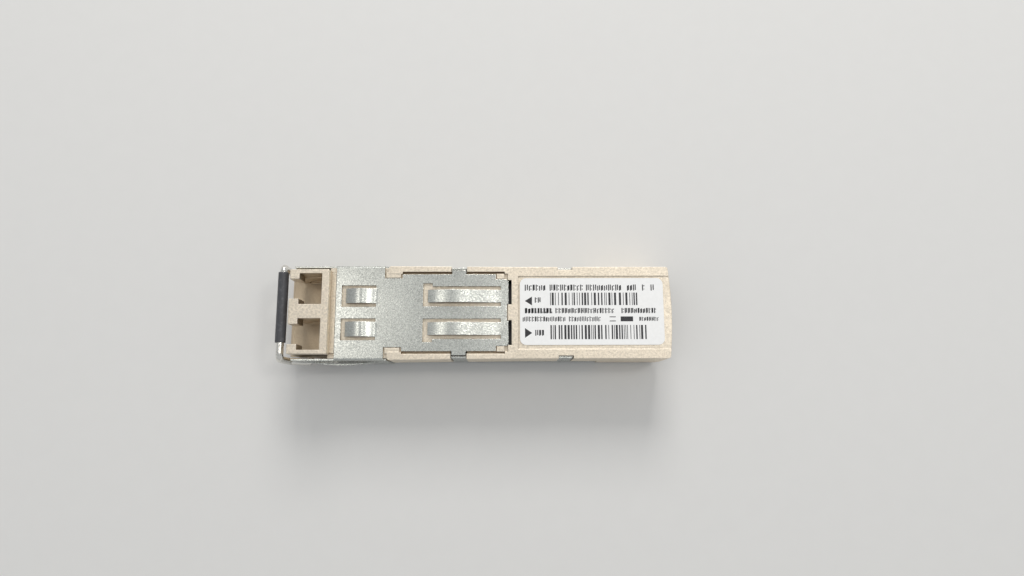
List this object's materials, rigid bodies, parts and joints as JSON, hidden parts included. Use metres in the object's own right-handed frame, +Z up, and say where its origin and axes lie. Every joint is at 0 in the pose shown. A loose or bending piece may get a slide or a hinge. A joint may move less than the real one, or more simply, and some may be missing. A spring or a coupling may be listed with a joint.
{
  "type": "optical transceiver module",
  "caption": "Small pluggable optical transceiver: cast housing with duplex LC ports, spring-fingered EMI shield, wire bail latch, printed label and a card-edge circuit board.",
  "frame": {"origin": "under the middle of the module's length and width, at the lowest point of the latch boss, 0.45 mm below the bottom cover", "axes": "+X along the module from the bail and the optical ports towards the electrical end, +Z up towards the label, +Y across, to the transmit side"},
  "size_m": [0.0572, 0.0148, 0.0105],
  "materials": {
    "nickel_plated_casting": "pale warm nickel plating on a fine-grained zinc die casting, satin",
    "spring_steel_sheet": "matte rolled sheet, cool grey, brighter where it is bent",
    "nickel_wire": "bright nickel-plated round wire",
    "plain_steel": "plain satin steel",
    "gold_plating": "thin gold plating",
    "label_film": "white polyester label film, satin",
    "grip_plastic": "dark slate moulded sleeve, satin",
    "moulded_package": "black moulded chip package",
    "board_laminate": "green solder mask over glass laminate",
    "white_ceramic": "white zirconia ceramic",
    "capacitor_ceramic": "tan ceramic capacitor",
    "ferrite": "dark grey ferrite",
    "lens_glass": "clear coated lens",
    "flex_film": "amber polyimide flexible circuit",
    "clamp_plastic": "black glass-filled plastic",
    "silicone_pad": "soft grey-blue gap filler",
    "absorber": "matt black microwave absorber"
  },
  "bodies": {
    "root": {"housing": "nickel_plated_casting", "emi_shield": "spring_steel_sheet", "bottom_cover": "spring_steel_sheet", "product_label": "label_film", "latch_pin": "plain_steel", "latch_spring": "plain_steel", "circuit_board": "board_laminate", "osa_clamp": "clamp_plastic", "laser_driver": "moulded_package", "limiting_amplifier": "moulded_package", "monitor_controller": "moulded_package", "memory_chip": "moulded_package", "inductor_transmit": "ferrite", "inductor_receive": "ferrite", "thermal_pad": "silicone_pad", "absorber_sheet": "absorber", "transmit_barrel": "plain_steel", "transmit_ferrule_sleeve": "white_ceramic", "transmit_can": "gold_plating", "transmit_lens": "lens_glass", "transmit_flex": "flex_film", "receive_barrel": "plain_steel", "receive_ferrule_sleeve": "white_ceramic", "receive_can": "gold_plating", "receive_lens": "lens_glass", "receive_flex": "flex_film", "edge_contact_top_01": "gold_plating", "edge_contact_top_02": "gold_plating", "edge_contact_top_03": "gold_plating", "edge_contact_top_04": "gold_plating", "edge_contact_top_05": "gold_plating", "edge_contact_top_06": "gold_plating", "edge_contact_top_07": "gold_plating", "edge_contact_top_08": "gold_plating", "edge_contact_top_09": "gold_plating", "edge_contact_top_10": "gold_plating", "edge_contact_bottom_01": "gold_plating", "edge_contact_bottom_02": "gold_plating", "edge_contact_bottom_03": "gold_plating", "edge_contact_bottom_04": "gold_plating", "edge_contact_bottom_05": "gold_plating", "edge_contact_bottom_06": "gold_plating", "edge_contact_bottom_07": "gold_plating", "edge_contact_bottom_08": "gold_plating", "edge_contact_bottom_09": "gold_plating", "edge_contact_bottom_10": "gold_plating", "capacitor_01": "capacitor_ceramic", "capacitor_02": "capacitor_ceramic", "capacitor_03": "capacitor_ceramic", "capacitor_04": "capacitor_ceramic", "capacitor_05": "capacitor_ceramic", "capacitor_06": "capacitor_ceramic", "capacitor_07": "capacitor_ceramic", "capacitor_08": "capacitor_ceramic"},
    "bail": {"bail_wire": "nickel_wire", "bail_grip": "grip_plastic"},
    "rocker": {"latch_rocker": "plain_steel"}
  },
  "joints": [
    {"name": "bail_swing", "type": "hinge", "parent": "root", "child": "bail", "pos_m": [-0.02527, 0, 0.00195], "axis": [0, -1, 0], "range_deg": [0, 90]},
    {"name": "rocker_turn", "type": "hinge", "parent": "root", "child": "rocker", "pos_m": [-0.02057, 0, 0.0012], "axis": [0, -1, 0], "range_deg": [0, 6], "deforming": ["latch_spring"]}
  ],
  "couplings": [
    {"joint": "rocker_turn", "follows": "bail_swing", "ratio": 0.0666}
  ]
}
